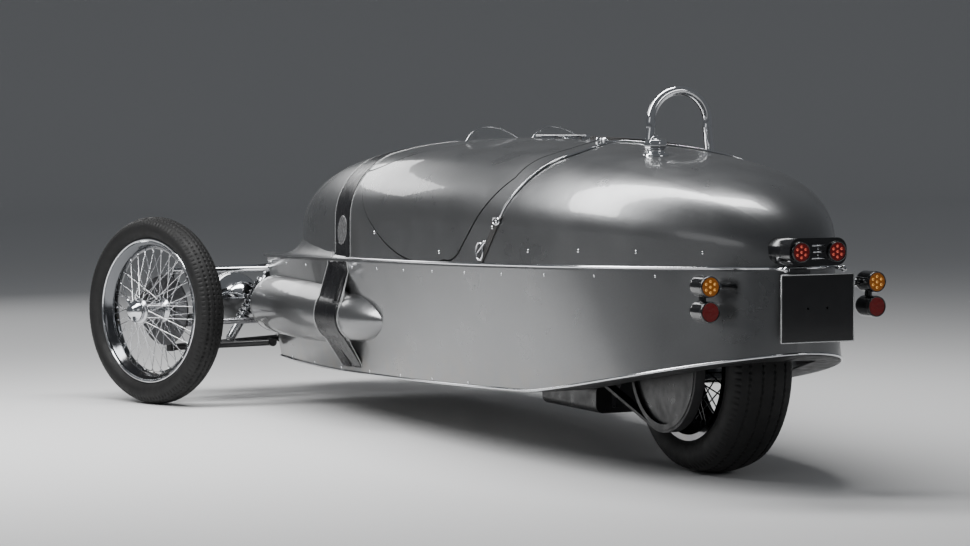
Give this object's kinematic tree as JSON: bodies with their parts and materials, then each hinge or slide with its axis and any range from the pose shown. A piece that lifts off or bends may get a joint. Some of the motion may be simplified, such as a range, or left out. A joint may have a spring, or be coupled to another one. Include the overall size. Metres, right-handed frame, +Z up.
{
  "type": "three wheeled car",
  "caption": "Open torpedo-bodied roadster with steered wire wheels out in front, a driven wheel in the tail, side pods, an offset cockpit and a hinged passenger lid.",
  "frame": {"origin": "middle of the bounding box on the road", "axes": "+X to the car's left, the front faces -Y, +Z up"},
  "size_m": [1.9292, 3.4223, 1.1007],
  "materials": {
    "body_paint": "gloss",
    "chassis_black": "satin",
    "chrome_trim": "polished",
    "bare_aluminium": "brushed",
    "cast_case": "cast, satin",
    "steel_parts": "machined",
    "brake_steel": "ground",
    "seat_leather": "grained",
    "rim_leather": "grained",
    "tyre_rubber": "matt",
    "belt_rubber": "matt",
    "screen_clear": "clear",
    "lamp_glass": "clear",
    "red_lens": "clear coloured",
    "amber_lens": "clear coloured",
    "black_plastic": "satin",
    "plate_black": "gloss",
    "dash_wood": "engine turned",
    "spring_coil": "gloss"
  },
  "bodies": {
    "body": {"cockpit_rim": "rim_leather", "dampers": "bare_aluminium", "dash_panel": "dash_wood", "deck_strap": "rim_leather", "drive_belt": "belt_rubber", "drive_unit": "cast_case", "filler_cap": "chrome_trim", "fly_screens": "screen_clear", "front_frame": "chassis_black", "headlamp_lenses": "lamp_glass", "headlamps": "chrome_trim", "hinge_fixed": "chrome_trim", "indicator_bodies": "black_plastic", "indicator_lenses": "amber_lens", "lower_wishbones": "chassis_black", "motor_case": "cast_case", "number_plate": "plate_black", "plate_bracket": "chassis_black", "rear_bulkhead": "bare_aluminium", "rear_deck": "body_paint", "rear_reflectors": "red_lens", "roll_hoop": "chrome_trim", "scuttle": "body_paint", "seat_back": "seat_leather", "seat_base": "seat_leather", "side_pods": "body_paint", "springs": "spring_coil", "steering_column": "chassis_black", "swing_arm": "chassis_black", "tail_lamp_bar": "black_plastic", "tail_lamps": "red_lens", "top_rail": "chassis_black", "tub": "body_paint", "upper_wishbones": "chrome_trim"},
    "steer_left": {"upright_left": "cast_case"},
    "steer_right": {"upright_right": "cast_case"},
    "front_wheel_left": {"wheel_left": "chrome_trim", "tyre_left": "tyre_rubber", "brake_disc_left": "brake_steel"},
    "front_wheel_right": {"wheel_right": "chrome_trim", "tyre_right": "tyre_rubber", "brake_disc_right": "brake_steel"},
    "rear_wheel": {"rear_wheel": "bare_aluminium", "rear_tyre": "tyre_rubber", "drive_pulley": "cast_case"},
    "lid": {"passenger_cover": "body_paint", "hinge_moving": "chrome_trim"},
    "hand_wheel": {"steering_wheel": "rim_leather"},
    "rod": {"track_rod": "steel_parts"}
  },
  "joints": [
    {"name": "steer_left", "type": "hinge", "parent": "body", "child": "steer_left", "pos_m": [0.74, -1.37184, 0.33], "axis": [0, 0, 1], "range_deg": [-51.7, 8.3]},
    {"name": "steer_right", "type": "hinge", "parent": "body", "child": "steer_right", "pos_m": [-0.74, -1.37184, 0.33], "axis": [0, 0, 1], "range_deg": [-51.7, 8.3]},
    {"name": "front_wheel_left", "type": "hinge", "parent": "steer_left", "child": "front_wheel_left", "pos_m": [0.80596, -1.34559, 0.332], "axis": [0.929, 0.3697, 0.0192], "continuous": true},
    {"name": "front_wheel_right", "type": "hinge", "parent": "steer_right", "child": "front_wheel_right", "pos_m": [-0.80596, -1.39809, 0.332], "axis": [-0.929, -0.3697, 0.0192], "continuous": true},
    {"name": "rear_wheel", "type": "hinge", "parent": "body", "child": "rear_wheel", "pos_m": [0, 1.15416, 0.311], "axis": [1, 0, 0], "continuous": true},
    {"name": "passenger_lid", "type": "hinge", "parent": "body", "child": "lid", "pos_m": [0.0205, 0.27416, 0.951], "axis": [0, -1, 0], "range_deg": [0, 80]},
    {"name": "hand_wheel", "type": "hinge", "parent": "body", "child": "hand_wheel", "pos_m": [-0.205, 0.05916, 0.715], "axis": [0, 0.9397, 0.342], "range_deg": [-413.6, 66.4]},
    {"name": "rod_slide", "type": "slide", "parent": "body", "child": "rod", "axis": [1, 0, 0], "range_m": [-0.015, 0.0885]}
  ],
  "couplings": [
    {"joint": "steer_right", "follows": "steer_left", "ratio": 1},
    {"joint": "hand_wheel", "follows": "steer_left", "ratio": 8},
    {"joint": "rod_slide", "follows": "steer_left", "m_per_rad": -0.0964}
  ]
}
